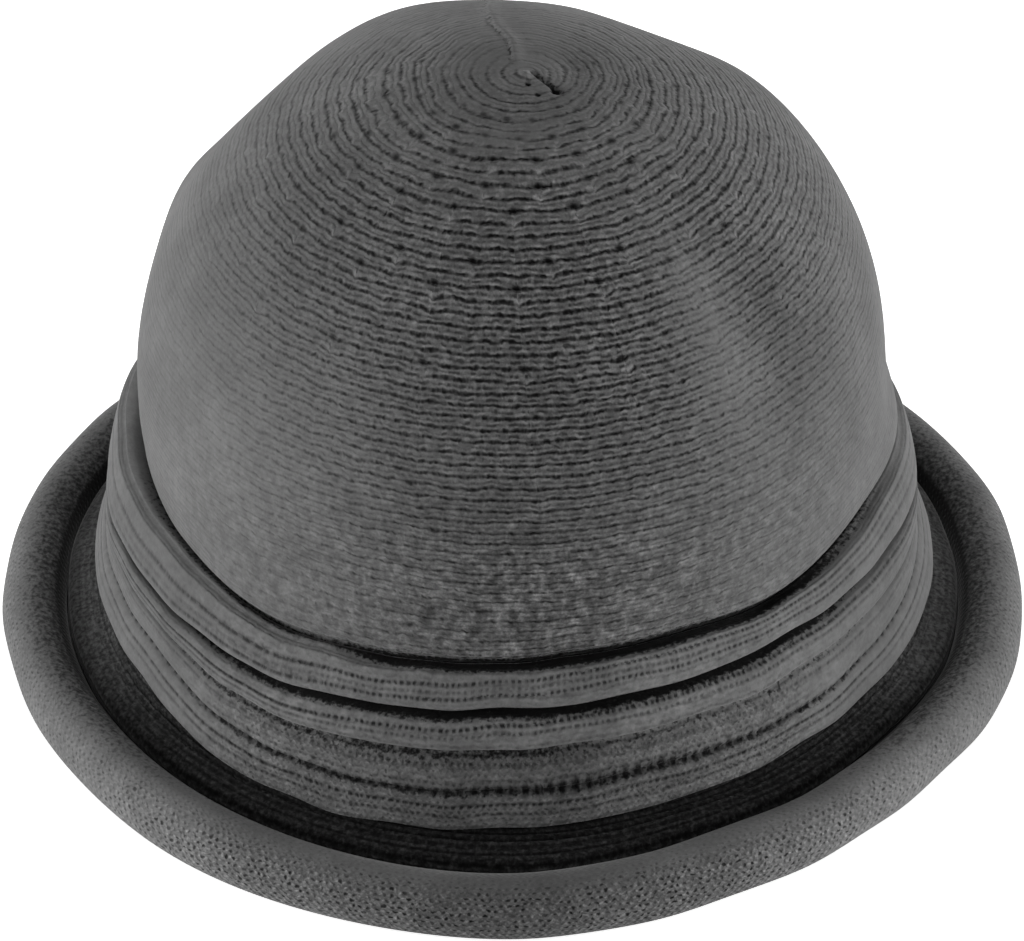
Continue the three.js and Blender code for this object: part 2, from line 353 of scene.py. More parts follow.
# How far the first gore is turned at the tip, and how much more on each millimetre down
GORES_START = -2.64
GORES_TURN = 0.055
CROWN_STEPS = 13
CROWN_SPACING = 0.52
INSIDE_SPACING = 4.5
TIP_RADIUS = 0.35
# How far below the top of the band the mesh stays fine, and which rows of it are kept below that
FINE_BELOW = 6
KEPT_ROWS = 6
# The rings of wales lie off centre at the tip, and less so as far out as this
KNIT_CENTRE = np.array([3.5, 1.0])
KNIT_CENTRE_FADE = 60.0
# How clearly the knitting shows down the crown, in relief and in painted shade, and how many degrees to the
# left and right of the clearest place it takes to half fade toward the strongly lit sides
CROWN_KNIT = table(
    "path clear left right",
    (0, 0.25, 130, 130),
    (20, 0.44, 100, 105),
    (40, 0.75, 70, 74),
    (60, 1.0, 48, 62),
    (80, 0.92, 36, 56),
    (100, 0.85, 25, 40),
    (120, 0.75, 23, 31),
    (150, 0.65, 25, 26),
)
CLEAR_MIDDLE = 3.0
CLEAR_POWER = 1.4
# At the back the knitting shows less near the tip and more lower down
BACK = {"turns": (105, 150), "fades": (1, -0.5), "clear": 0.45, "path": (35, 120)}
# Down the crown: how strong the fine line along the middle of each wale is, and where the wool is felted
MIDDLE_LINES = [(0, 0.05), (40, 0.12), (55, 0.3), (70, 0.5), (90, 0.62), (110, 0.4), (200, 0.3)]
CROWN_FELTED = (104, 150)
# On the ridge beside the right front dent the knitting shows less
FOLD_SMOOTH = {"turn": 39, "wide": 9, "path": 85, "long": 35, "clear": (1, -0.7)}
# Wales at which short rows turn back, at the border or near the middle of every gore, and how plainly
SHORT_ROWS = table(
    "wale at plain",
    (5, "half", 0.7),
    (7, "border", 0.9),
    (9, "half", 1.0),
    (11, "half", 1.0),
    (13, "border", 1.0),
    (17, "half", 1.0),
    (19, "border", 1.0),
    (23, "half", 0.3),
    (25, "border", 0.8),
    (31, "border", 0.3),
)
# There the wales dip, the one to the right with a hook, a line breaks off, and the one above has a hole
SHORT_ROWS_SHOW = (6, 14)
DIP = {"always": 0.12, "reach": 4.0, "left": 0.09, "left_reach": 2.4, "right": 0.3, "right_reach": 1.7}
HOOK = {"below": 0.1, "tall": 0.45}
BREAK = {"below": 0.15, "tall": 0.42, "wide": 1.0, "full": 1.3}
HOLE = {"above": 0.92, "tall": 0.19, "wide": 0.9}
# Painted light and shade: where the wool's colour is made a little lighter or darker, in powers of e
CROWN_PAINTED_LIGHT = table(
    "turn path wide long tone",
    (0, 115, 26, 36, -0.1),
    (-60, 60, 26, 30, -0.16),
    (39, 82, 6, 30, 0.16),
    (52, 95, 7, 24, -0.18),
    (180, 35, 60, 40, 0.16),
    (-45, 132, 18, 20, 0.12),
)
# The relief, in millimetres, where it begins below the tip and where it ends above the band
CROWN_RELIEF = {"gap": 0.3, "middle": 0.1, "hole": 0.2, "felted": (1, -0.5)}
CROWN_RELIEF_FROM = (2, 9)
CROWN_RELIEF_ENDS = (0.5, 4)
CROWN_UNEVEN_FROM = (2, 12)
# Near the tip the wales are uneven and show unevenly
NEAR_TIP = (25, 60)
WALES_UNEVEN_FROM = (4, 12)
# How far the stitches of a gore are shifted against the next one's, and how wide the last one of a gore is
GORE_SHIFT = 0.37
LAST_STITCH = 0.4
# The seam down the back: a ridge with a groove beside it, darkened with painted shade
SEAM_PATH = [(0, 2.5), (6, 1.0), (15, 0.0), (25, -4.0), (40, -6.0), (80, -4.0), (170, 0.0)]
SEAM = {"path": (3, 8), "down": (40, 120), "lower": (1, -0.5), "ridge": 0.5, "wide": 1.8}
GROOVE = {"beside": 1.2, "wide": 0.6, "deep": 0.3, "dark": 0.14}
# The slit and the puckers at the tip: how wide and deep they are, how far down they may lie, and from which
# push on they are holes darkened with painted shade
TIP_SLIT = (np.array([5.1, 2.8]), np.array([10.6, -4.4]))
SLIT = {"full": 0.6, "wide": 0.6, "deep": 1.5, "path": 30}
MARKS_PATH = 40
HOLE_PUSH = -0.7
TIP_MARKS = table(
    "at reach push",
    ((10.8, -4.7), 1.1, -2.2),
    ((3.1, 1.6), 1.5, 0.9),
    ((3.9, -2.4), 0.8, -0.9),
    ((6.3, -6.7), 0.8, -0.8),
    ((14.5, 7.9), 4.0, -0.6),
)
# The painted shade in the crease where the crown goes behind the band: how tall and how dark, by how dark the
# band's painted shade is there
FOOT_THIN = (1, -0.75)
FOOT_TALL = (0.6, 1.1)
FOOT_PAINTED_SHADE = (0.1, 0.9)
FOOT_SOFT_SHADE = {"dark": 0.3, "tall": 6}
INSIDE_CLEAR = 0.5


def crown_sections():
    """The outside from the tip to the hem, finely where it shows, and the inside back up to the tip."""
    points = []
    power = 2 / CROWN_SQUARENESS
    for step in range(CROWN_STEPS + 1):
        angle = math.pi / 2 * (1 - step / CROWN_STEPS)
        radius = CROWN_RADIUS * max(math.cos(angle), 0) ** power
        points.append((radius, CROWN_FULLEST + CROWN_RISE * math.sin(angle) ** power))
    points += CROWN_SIDE + [tuple(on_foot(0, 0)), tuple(on_foot(HEM_AT / 2, 0)), tuple(on_foot(HEM_AT, 0))]
    outside = through(points, CROWN_SPACING)
    inside = through(beside(np.array(points), -WALL), INSIDE_SPACING)
    kept = (outside[:, 1] > FOOT_TOP[1] - FINE_BELOW) | (np.arange(len(outside)) % KEPT_ROWS == 0)
    kept[-1] = True
    outside = outside[kept]
    inside[0, 0] = outside[0, 0] = TIP_RADIUS
    return outside, inside[::-1]


def segment_distance(at, start, end):
    line = end - start
    share = np.clip(((at - start) @ line) / (line @ line), 0, 1)
    return np.linalg.norm(at - start - share[..., None] * line, axis=-1)


def short_rows(count, path, radius, columns):
    """For each vertex: how far its wale dips at the ends of short rows, how far the dark line breaks off, and
    how much of a hole the line above has."""
    dip = np.zeros((count.size, columns.size))
    breaks = np.zeros_like(dip)
    hole = np.zeros_like(dip)
    for at, offset in (("border", 0.0), ("half", GORE_HALVES_AT)):
        away = (columns - offset + GORE / 2) % GORE - GORE / 2
        apart = np.radians(np.abs(away)) * np.maximum(radius, 1)
        dip += ease(*SHORT_ROWS_SHOW, path) * DIP["always"] * np.exp(-apart / DIP["reach"])
        side = np.where(
            away < 0,
            DIP["left"] * np.exp(-apart / DIP["left_reach"]),
            DIP["right"] * np.exp(-apart / DIP["right_reach"]),
        )
        for row in SHORT_ROWS:
            if row["at"] == at:
                below = count - row["wale"]
                dip += row["plain"] * side * bump(below - HOOK["below"], HOOK["tall"])
                broken = bump(below - BREAK["below"], BREAK["tall"]) * bump(apart, BREAK["wide"])
                breaks += row["plain"] * broken
                hole += row["plain"] * bump(below + HOLE["above"], HOLE["tall"]) * bump(apart, HOLE["wide"])
    return dip, np.clip(BREAK["full"] * breaks, 0, 1), hole


def crown_clear(path, turn):
    """How clearly the knitting of the crown shows."""
    level = from_front(turn)
    known = [row["path"] for row in CROWN_KNIT]
    clear, left, right = [
        np.interp(path, known, [row[column] for row in CROWN_KNIT]) for column in ("clear", "left", "right")
    ]
    off = level - CLEAR_MIDDLE
    bell = 0.5 ** ((np.abs(off) / np.where(off < 0, left, right)) ** CLEAR_POWER)
    behind = ease(*BACK["turns"], np.abs(level))
    bell = np.maximum(bell * lead(BACK["fades"], behind), BACK["clear"] * behind * ease(*BACK["path"], path))
    fold = bump(level - FOLD_SMOOTH["turn"], FOLD_SMOOTH["wide"])
    fold = fold * bump(path - FOLD_SMOOTH["path"], FOLD_SMOOTH["long"])
    return clear * bell * lead(FOLD_SMOOTH["clear"], fold)


def thin_crease(turn):
    """Where the crease above the band is thin, to the left of the front."""
    level = from_front(turn)
    return ease(*THIN_BEGINS, level) * (1 - ease(*THIN_ENDS, level))


def crown_painted_light(path, turn):
    """How much painted light or shade makes the crown's wool lighter or darker, in powers of e."""
    tone = np.zeros_like(turn)
    for row in CROWN_PAINTED_LIGHT:
        level = from_front(turn - row["turn"])
        tone += row["tone"] * bump(level, row["wide"]) * bump(path - row["path"], row["long"])
    return tone


def make_crown():
    outside, inside = crown_sections()
    section = np.vstack([outside, inside])
    radius, height = section[:, :1], section[:, 1:]
    rows = len(section)
    fine = len(outside)
    path = np.concatenate([lengths(outside), lengths(inside)[-1] - lengths(inside)])[:, None]
    columns = (np.arange(GORES)[:, None] * GORE + GORE_COLUMNS).reshape(1, -1)
    turn = columns + GORES_START + GORES_TURN * path
    places = round_places(radius, height, turn)
    shifted = places[..., :2] + (1 - ease(0, KNIT_CENTRE_FADE, radius))[..., None] * KNIT_CENTRE
    reach = np.linalg.norm(shifted, axis=-1)
    on_top = (height > CROWN_FULLEST) & (radius < KNIT_CENTRE_FADE)
    for wall, line in ((slice(0, fine), outside), (slice(fine, rows), inside[::-1])):
        top = line[line[:, 1] > CROWN_FULLEST]
        lifted = np.interp(reach[wall], top[:, 0], top[:, 1])
        places[wall, :, :2] = np.where(on_top[wall][..., None], shifted[wall], places[wall, :, :2])
        places[wall, :, 2] = np.where(on_top[wall], lifted, places[wall, :, 2])
    above = height - FOOT_TOP[1]
    follows = ease(on_foot(HEM_AT, 0)[1], PINCH_FREE, height) * (1 - ease(*PINCH_FADE, height))
    slide = around(BAND_LINES, "top", turn) * follows
    full = around(BAND_LINES, "full", turn) * (bump(height - FULL_AT, FULL_REACH) * ease(*FULL_ABOVE, above))
    radial = round_places(1.0, 0.0, turn)
    places += slide[..., None] * (FOOT_ALONG[0] * radial + np.array([0, 0, FOOT_ALONG[1]]))
    places += full[..., None] * radial
    places = settle(places)

    # How the cloth stands up between the wales
    count = wale_count(path)
    dip, breaks, hole = short_rows(count, path, radius, columns)
    felted = ease(*CROWN_FELTED, path)
    near_tip = 1 - ease(*NEAR_TIP, path)
    clear = crown_clear(path, turn) * (1 + near_tip * uneven(places, "clear"))
    wale = count - dip + near_tip * ease(*WALES_UNEVEN_FROM, path) * uneven(places, "wale")
    from_centre = np.radians(columns % GORE - GORE / 2)
    stitch = from_centre * np.maximum(radius, 1) / STITCH + GORE_SHIFT * (columns // GORE)
    is_outside = (np.arange(rows) < fine)[:, None]
    gap = (0.5 + 0.5 * np.cos(2 * math.pi * wale)) ** 3
    middle = (0.5 - 0.5 * np.cos(2 * math.pi * wale)) ** 5
    second = np.interp(path, *zip(*MIDDLE_LINES))
    deep = CROWN_RELIEF
    relief = -(deep["gap"] * gap * (1 - breaks) + deep["middle"] * second * middle + deep["hole"] * hole)
    relief *= clear * lead(deep["felted"], felted)
    relief *= ease(*CROWN_RELIEF_FROM, path) * ease(*CROWN_RELIEF_ENDS, above)
    at = places[..., :2]
    off = places[..., 0] - np.interp(path, *zip(*SEAM_PATH))
    behind = (places[..., 1] > 0) * ease(*SEAM["path"], path) * lead(SEAM["lower"], ease(*SEAM["down"], path))
    groove = bump(off + GROOVE["beside"], GROOVE["wide"])
    seam = behind * (SEAM["ridge"] * bump(off, SEAM["wide"]) - GROOVE["deep"] * groove)
    slit = SLIT["full"] * bump(segment_distance(at, *TIP_SLIT), SLIT["wide"]) * (path < SLIT["path"])
    marks = np.zeros_like(relief)
    holes = slit.copy()
    for mark in TIP_MARKS:
        near = bump(np.linalg.norm(at - np.array(mark["at"]), axis=-1), mark["reach"]) * (path < MARKS_PATH)
        marks += mark["push"] * near
        if mark["push"] < HOLE_PUSH:
            holes += near
    relief = np.where(is_outside, relief + seam + marks - SLIT["deep"] * slit, 0)
    relief = relief + uneven(places, "crown") * ease(*CROWN_UNEVEN_FROM, path)
    places = places + facing(places, False) * relief[..., None]

    # Painted shade in the crease above the band, in the tip's holes and in the seam's groove
    dark = around(BAND_LINES, "dark", turn) * lead(FOOT_THIN, thin_crease(turn))
    foot = (1 - ease(0, lead(FOOT_TALL, dark), above)) * lead(FOOT_PAINTED_SHADE, dark)
    foot = np.maximum(foot, FOOT_SOFT_SHADE["dark"] * dark * (1 - ease(0, FOOT_SOFT_SHADE["tall"], above)))
    crease = np.maximum(np.clip(holes + GROOVE["dark"] * behind * groove, 0, 1), foot)
    masks = {
        "crease": np.where(is_outside, crease, 0),
        "clear": np.where(is_outside, clear, INSIDE_CLEAR),
        "felted": felted,
        "wrong": np.where(is_outside, 0.0, 1.0),
        "breaks": breaks,
        "hole": hole,
        "second": second,
        # Painted light and shade
        "tone": crown_painted_light(path, turn),
    }
    stitch_right = np.roll(stitch, -1, 1)
    at_edge = (np.roll(from_centre, -1) < from_centre)[0]
    stitch_right[:, at_edge] = stitch[:, at_edge] + LAST_STITCH
    knit = [(wale, np.roll(wale, -1, 1)), (stitch, stitch_right)]
    return grid_mesh("crown_knit", places, False, knit, masks)


# The band: four tucks with stitched lines along its wales
BAND_COLUMNS = 510
BAND_SPACING = 0.3
BAND_INSIDE_SPACING = 2.5
BAND_STITCHES = 388
STITCH_HOLES = 212
# Down one tuck: where the cloth lies, and how much of the crease's depth is left there. The upper part
# belongs to the crease above it and may open wider, the lower part belongs to the next crease
TUCK_SECTION = table(
    "along left",
    (0.02, 1.0),
    (0.10, 0.94),
    (0.17, 0.66),
    (0.24, 0.3),
    (0.36, 0.08),
    (0.62, 0.0),
    (0.84, 0.04),
    (0.95, 0.2),
    (1.0, 0.45),
    (1.0, 0.8),
)
UPPER_OPENS = 0.5
UPPER_ENDS = 0.6
# Where the hem's edge stands and how far up it turns back, and the edge at the top
HEM_STAND = 2.0
HEM_RISES = 2.5
TOP_EDGE = [(0.6, GAP), (0.0, 0.5)]
# How far down each tuck the fine lines lie and how strong they are, in relief and in painted shade, and on
# how many tucks they lean
KNIT_LINES = table(
    "tuck share dark",
    (0, 0.32, 0.7),
    (0, 0.49, 0.25),
    (0, 0.65, 0.65),
    (1, 0.4, 0.9),
    (1, 0.6, 0.35),
    (2, 0.35, 0.35),
    (3, 0.38, 0.75),
    (3, 0.6, 0.35),
)
LINE_WIDE = 0.42
LINE_LEANS = 2
LINE_SHOWS = (0.2, 0.8)
# To the left the crown's side of the top tuck is filled and its crease is thin, down to so many millimetres
THIN_BEGINS = (-130, -90)
THIN_ENDS = (-32, -10)
THIN_FILLS = 0.45
THIN_FILLS_TO = 4
THIN_NARROWS = 0.85
THIN_NARROWS_TO = 3
# How far out the band's cloth is free to be uneven
BAND_FREE = (GAP + 0.4, 3.2)
# The sewn crease is tallest right of the front, and weaker where the creases are shallow
SEWN = {"tall": (0.6, 0.9), "at": 12.0, "reach": 18.0, "by_depth": (0.15, 0.85)}
# How far in a crease its painted shade begins and is full, both farther in where it is narrow; a shallow one
# counts double; and between which heights down the band the painted shade on its inside fades out
CREASE_SHADE_SPAN = {"from": (0.6, 1.9), "to": (2.8, 0.9), "shallow": 0.6, "inside": (0.5, 3)}
# On the lower tucks stitches of the wrong side show as specks, between a left and a right end
SPECKS = {"from": 21.5, "to": 24.0, "left": -48.0, "right": 48.0, "fade": 12}
BAND_RELIEF = {"line": 0.25, "sewn": 0.35}
BAND_FRONT = (30, 60)
BAND_CLEAR = (0.04, 0.08)
BAND_CLEAR_DEEP = 0.12
BAND_CLEAR_SPECKS = 0.36
BAND_FELTED = (0.9, -0.4)
BAND_WRONG = 0.6
BAND_DOTS = (0.1, 0.75)
BAND_DOTS_FROM = (-40, -20)
# How much painted light or shade makes the upper and the lower tucks lighter or darker, in powers of e
BAND_PAINTED_LIGHT = table(
    "turn upper lower",
    (-180, 0.0, 0.0),
    (-60, 0.0, 0.05),
    (-25, 0.14, 0.0),
    (0, 0.26, -0.18),
    (35, 0.22, 0.12),
    (65, 0.0, 0.0),
    (180, 0.0, 0.0),
)
LOWER_BEGINS = (20, 23)


def band_section():
    """Round the level band's cloth: how far down and how far out, and how many such places are outside."""
    points = []
    for number, tuck in enumerate(TUCKS):
        for row in TUCK_SECTION:
            along = row["along"] * (tuck["opens"] if row["along"] < UPPER_OPENS else 1)
            down = tuck["top"] + (tuck["foot"] - tuck["top"]) * along
            under = tuck if row["along"] < UPPER_ENDS else TUCKS[min(number + 1, len(TUCKS) - 1)]
            points.append((down, tuck["stand"] - under["crease"] * row["left"]))
    hem = TUCKS[-1]["foot"]
    points.append((hem, HEM_STAND))
    outside = through(points, BAND_SPACING)
    rest = through([(hem - HEM_RISES, GAP), (HEM_AT, GAP)] + TOP_EDGE, BAND_INSIDE_SPACING)
    return np.vstack([outside, rest]), len(outside)


def make_band():
    section, fine = band_section()
    rows = len(section)
    down, out = section[:, :1], section[:, 1:]
    turn = round_grid(360, BAND_COLUMNS, rows)
    top, first, stitched, hem, lean, deep, dark, flare = [
        around(BAND_LINES, column, turn)
        for column in ("top", "first", "stitched", "hem", "lean", "deep", "dark", "flare")
    ]
    lines = [top, first, first + (stitched - first) * SECOND_SHARE, stitched, hem]
    knots = [tuck["top"] for tuck in TUCKS] + [TUCKS[-1]["foot"]]
    moved = np.zeros_like(turn)
    lost = np.zeros_like(turn)
    shade = np.zeros_like(down)
    last = len(TUCKS) - 1
    for number, tuck in enumerate(TUCKS):
        upper = -np.inf if number == 0 else knots[number]
        lower = np.inf if number == last else knots[number + 1]
        here = (down >= upper) & (down < lower)
        share = (down - tuck["top"]) / (tuck["foot"] - tuck["top"])
        moved = np.where(here, lines[number] + (lines[number + 1] - lines[number]) * share, moved)
        lost = np.where(here, (tuck["stand"] - out) * (1 - deep), lost)
        below = TUCKS[min(number + 1, last)]["shade"]
        shade = np.where(here, np.where(share < UPPER_ENDS, tuck["shade"], below), shade)
    is_outside = (np.arange(rows) < fine)[:, None]
    filled = THIN_FILLS * thin_crease(turn) * (down < THIN_FILLS_TO)
    lost = np.maximum(lost, (TUCKS[0]["stand"] - out) * filled)
    shown_out = out + np.where(is_outside, lost, 0)
    flared = (1 - ease(*FLARE_FADE, down)) * ease(*FLARE_STANDS, shown_out)
    shown_out = shown_out + flare * np.where(is_outside, flared, 0)
    foot = on_foot(moved, shown_out)
    level = round_places(foot[..., 0], foot[..., 1], turn)
    free = np.where(is_outside, ease(*BAND_FREE, shown_out), 0)
    foot = on_foot(moved + uneven(level, "band_down") * free, shown_out + uneven(level, "band_out") * free)
    places = settle(round_places(foot[..., 0], foot[..., 1], turn))

    # Fine lines along the wales, and the holes of the stitched crease, pressed in and darkened with painted
    # shade
    line = np.zeros_like(turn)
    for row in KNIT_LINES:
        tuck = TUCKS[row["tuck"]]
        at = tuck["top"] + (tuck["foot"] - tuck["top"]) * row["share"] + lean * (row["tuck"] < LINE_LEANS)
        line = np.maximum(line, row["dark"] * bump(down - at, LINE_WIDE))
    line = np.where(is_outside, line, 0)
    level = from_front(turn)
    tall = lead(SEWN["tall"], bump(level - SEWN["at"], SEWN["reach"]))
    sewn = np.where(is_outside, bump(down - TUCKS[-1]["top"], tall) * lead(SEWN["by_depth"], deep), 0)
    # Painted shade in the creases between the tucks, and on the band's inside below its top
    sunk = TUCKS[0]["stand"] - (out + lost)
    sunk = np.where(shade < CREASE_SHADE_SPAN["shallow"], sunk * 2, sunk)
    thin = np.where(down < THIN_NARROWS_TO, THIN_NARROWS * thin_crease(turn), 0)
    narrow = np.maximum(1 - dark, thin)
    crease = ease(lead(CREASE_SHADE_SPAN["from"], narrow), lead(CREASE_SHADE_SPAN["to"], narrow), sunk) * dark * shade
    is_second = np.abs(shade - TUCKS[2]["shade"]) < 0.01
    crease = crease * (1 - SECOND_FADES * ease(*SECOND_FADE_TURNS, level) * is_second)
    crease = np.where(is_outside, crease, dark * (1 - ease(*CREASE_SHADE_SPAN["inside"], down)))
    sides = ease(0, SPECKS["fade"], level - SPECKS["left"]) * ease(0, SPECKS["fade"], SPECKS["right"] - level)
    specks = ease(SPECKS["from"], SPECKS["to"], down) * sides * is_outside
    relief = -BAND_RELIEF["line"] * line - BAND_RELIEF["sewn"] * sewn
    places = places + facing(places, True) * relief[..., None]
    path = np.concatenate([lengths(section), [lengths(section)[-1] + 1]])
    wale = np.repeat(path[:, None] / WALE, BAND_COLUMNS, 1)
    stitch = round_grid(BAND_STITCHES, BAND_COLUMNS, rows + 1)
    in_front = 1 - ease(*BAND_FRONT, np.abs(level))
    lower = ease(*LOWER_BEGINS, down)
    clear = lead(BAND_CLEAR, in_front) + BAND_CLEAR_DEEP * deep * in_front
    masks = {
        "crease": crease,
        # Painted light and shade of the tucks
        "tone": around(BAND_PAINTED_LIGHT, "upper", turn) * (1 - lower) + around(BAND_PAINTED_LIGHT, "lower", turn) * lower,
        "clear": clear + BAND_CLEAR_SPECKS * specks,
        "felted": lead(BAND_FELTED, specks),
        "wrong": np.where(is_outside, BAND_WRONG * specks, 1.0),
        "line": line * lead(LINE_SHOWS, dark),
        "dots": lead(BAND_DOTS, ease(*BAND_DOTS_FROM, level) * in_front),
        "sewn": sewn,
    }
    step = BAND_STITCHES / BAND_COLUMNS
    return grid_mesh("band_knit", places, True, [(wale, wale), (stitch, stitch + step)], masks)


# The brim and its rolled edge
BRIM_COLUMNS = 440
BRIM_STITCHES = 406
BRIM_WALE = 2.2
SLOPE_LINES = 1.85
BRIM_SPACING = 0.25
# Rows lie close where the cloth shows and wide apart where it is hidden, down the knit side and back up the
# purl side. The slope and the roll's purl side end at angles of the roll
SHOWS_FROM = 14.0
SLOPE_ENDS = 20
ROLL_SHOWS = 60
ROLL_ENDS = 350
KNIT_ROWS = {"hidden": 2.0, "shown": 0.5, "rolled": 2.5}
PURL_ROWS = {"rolled": 2.0, "shown": 0.42, "hidden": 1.2}
BRIM_FRONT = (40, 75)
BRIM_SIDES = {"begin": (30, 70), "end": (110, 150)}
# The relief of the slope's lines, and where the brim is free to be uneven, clear of the table
SLOPE_RELIEF = 0.3
SLOPE_RELIEF_FROM = (16, 24)
SLOPE_RELIEF_FRONT = (0.2, 0.8)
BRIM_FREE = (22, 30)
BRIM_FREE_ENDS = (300, 340)
TABLE_CLEAR = (0.2, 2.5)
# The painted shade under the band's hem by how far down the slope, and in the roll's two creases by how far
# round it
SHADE_UNDER_HEM = {"along": (10, 16), "less": 0.5, "less_at": (19, 21.5), "later": 0.06, "later_at": (21, 27)}
SHADE_UNDER_HEM_SIDES = {"less": 0.2, "along": (19, 22)}
ROLL_FOOT_SHADE = {"begins": (-60, -32), "ends": (-20, -40)}
ROLL_INNER_SHADE = {"begins": (300, -16), "ends": (340, -28)}
ROLL_SIDES_SHADE = {"dark": 0.55, "angle": (205, 325)}
# How dark the painted shade in the slope's lines is, where the purl side shows clearly on the roll, and how
# clearly
LINE_PAINTED_SHADE = 0.9
LINE_FRONT = (0.25, 0.75)
PURL_BEGINS = (60, 110)
PURL_ENDS = (215, 258)
PURL_SIDES = (18, 60)
PURL_FADES = (1, -0.8)
KNIT_CLEAR = (0.08, 0.17)
PURL_CLEAR = (0.12, 0.8)
KNIT_FELTED = 0.7
BRIM_DOTS = 0.3
# How much painted light or shade makes the slope and the roll lighter or darker, in powers of e
SLOPE_PAINTED_SHADE = -0.3
ROLL_PAINTED_LIGHT = table(
    "turn tone",
    (-180, 0.0),
    (-110, -0.1),
    (-80, 0.1),
    (-45, 0.26),
    (-20, 0.05),
    (0, -0.26),
    (20, 0.05),
    (45, 0.32),
    (80, 0.1),
    (110, -0.1),
    (180, 0.0),
)


def brim_middle():
    """The middle of the brim's cloth, and how far round the roll each place of it is, in degrees."""
    points = [tuple(on_foot(HEM_AT + GAP, -WALL / 2)), tuple(on_foot((HEM_AT + FOOT_LENGTH) / 2, -WALL / 2))]
    points += BRIM_SLOPE
    rolled = [-90.0] * len(points)
    for step in range(ROLL_STEPS + 1):
        turn = ROLL_START + ROLL_STEP * step
        tucked = (WALL + GAP) * float(ease(*ROLL_TUCK, turn))
        angle = math.pi + math.radians(turn)
        reach = ROLL_HALF_WIDTH - WALL / 2 - tucked
        lift = ROLL_HALF_HEIGHT - WALL / 2 - tucked
        points.append((BRIM_RADIUS + reach * math.cos(angle), ROLL_HALF_HEIGHT + lift * math.sin(angle)))
        rolled.append(turn)
    three = np.column_stack([points, np.array(rolled) / 100])
    line = through(three, BRIM_SPACING)
    return line[:, :2], line[:, 2] * 100


def make_brim():
    middle, rolled = brim_middle()
    path = lengths(middle)
    total = path[-1]
    slope_ends, roll_shows, roll_ends = [
        path[np.argmax(rolled > angle)] for angle in (SLOPE_ENDS, ROLL_SHOWS, ROLL_ENDS)
    ]
    knit_at = np.concatenate([
        np.arange(0, SHOWS_FROM, KNIT_ROWS["hidden"]),
        np.arange(SHOWS_FROM, slope_ends, KNIT_ROWS["shown"]),
        np.arange(slope_ends, total, KNIT_ROWS["rolled"]),
    ])
    purl_at = np.concatenate([
        np.arange(total, roll_ends, -PURL_ROWS["rolled"]),
        np.arange(roll_ends, roll_shows, -PURL_ROWS["shown"]),
        np.arange(roll_shows, 0, -PURL_ROWS["hidden"]),
        [0.0],
    ])
    section = np.vstack([
        np.stack([np.interp(at, path, side[:, k]) for k in (0, 1)], -1)
        for at, side in ((knit_at, beside(middle, WALL / 2)), (purl_at, beside(middle, -WALL / 2)))
    ])
    along = np.concatenate([knit_at, purl_at])[:, None]
    angle = np.interp(along, path, rolled)
    rows = len(section)
    turn = round_grid(360, BRIM_COLUMNS, rows)
    places = settle(round_places(section[:, :1], section[:, 1:], turn))
    is_knit = (np.arange(rows) < len(knit_at))[:, None]
    between = (0.5 + 0.5 * np.cos(2 * math.pi * along / SLOPE_LINES)) ** 3
    level = np.abs(from_front(turn))
    in_front = 1 - ease(*BRIM_FRONT, level)
    relief = np.where(is_knit, -SLOPE_RELIEF * between, 0) * ease(*SLOPE_RELIEF_FROM, along)
    relief = relief * lead(SLOPE_RELIEF_FRONT, in_front)
    free = ease(*BRIM_FREE, along) * (1 - ease(*BRIM_FREE_ENDS, angle))
    relief = relief + uneven(places, "brim") * free
    pressed = ease(*TABLE_CLEAR, places[..., 2])
    places = places + facing(places, True) * (relief * pressed)[..., None]
    at_sides = ease(*BRIM_SIDES["begin"], level) * (1 - ease(*BRIM_SIDES["end"], level))
    # Painted shade under the band's hem, in the roll's creases and beside the roll
    slope = ease(*SHADE_UNDER_HEM["along"], along) * is_knit
    less = SHADE_UNDER_HEM["less"] * ease(*SHADE_UNDER_HEM["less_at"], along)
    crease = slope * (1.0 - less - SHADE_UNDER_HEM["later"] * ease(*SHADE_UNDER_HEM["later_at"], along))
    crease = crease - SHADE_UNDER_HEM_SIDES["less"] * slope * (1 - in_front) * ease(*SHADE_UNDER_HEM_SIDES["along"], along)
    for row, side in ((ROLL_FOOT_SHADE, is_knit), (ROLL_INNER_SHADE, 1 - is_knit)):
        shown = ease(lead(row["begins"], at_sides), lead(row["ends"], at_sides), angle)
        crease = np.maximum(crease, shown * side)
    shade_beside_roll = ROLL_SIDES_SHADE["dark"] * at_sides * ease(*ROLL_SIDES_SHADE["angle"], angle)
    crease = np.maximum(crease, shade_beside_roll * (1 - is_knit))
    purl_shows = ease(*PURL_BEGINS, angle) * (1 - ease(*PURL_ENDS, angle))
    purl_shows = purl_shows * lead(PURL_FADES, ease(*PURL_SIDES, level))
    # Painted light and shade on the roll
    roll_painted_light = around(ROLL_PAINTED_LIGHT, "tone", turn) * ease(*PURL_BEGINS, angle)
    masks = {
        "crease": crease,
        "clear": np.where(is_knit, lead(KNIT_CLEAR, in_front), lead(PURL_CLEAR, purl_shows)),
        "felted": np.where(is_knit, KNIT_FELTED, 0.0),
        "wrong": np.where(is_knit, 0.0, 1.0),
        "line": LINE_PAINTED_SHADE * slope * between * lead(LINE_FRONT, in_front),
        "tone": np.where(is_knit, SLOPE_PAINTED_SHADE * slope, roll_painted_light),
        "dots": BRIM_DOTS,
    }
    wale = np.repeat(np.vstack([along, along[:1]]) / BRIM_WALE, BRIM_COLUMNS, 1)
    stitch = round_grid(BRIM_STITCHES, BRIM_COLUMNS, rows + 1)
    step = BRIM_STITCHES / BRIM_COLUMNS
    return grid_mesh("brim_knit", places, True, [(wale, wale), (stitch, stitch + step)], masks)


# Shader nodes


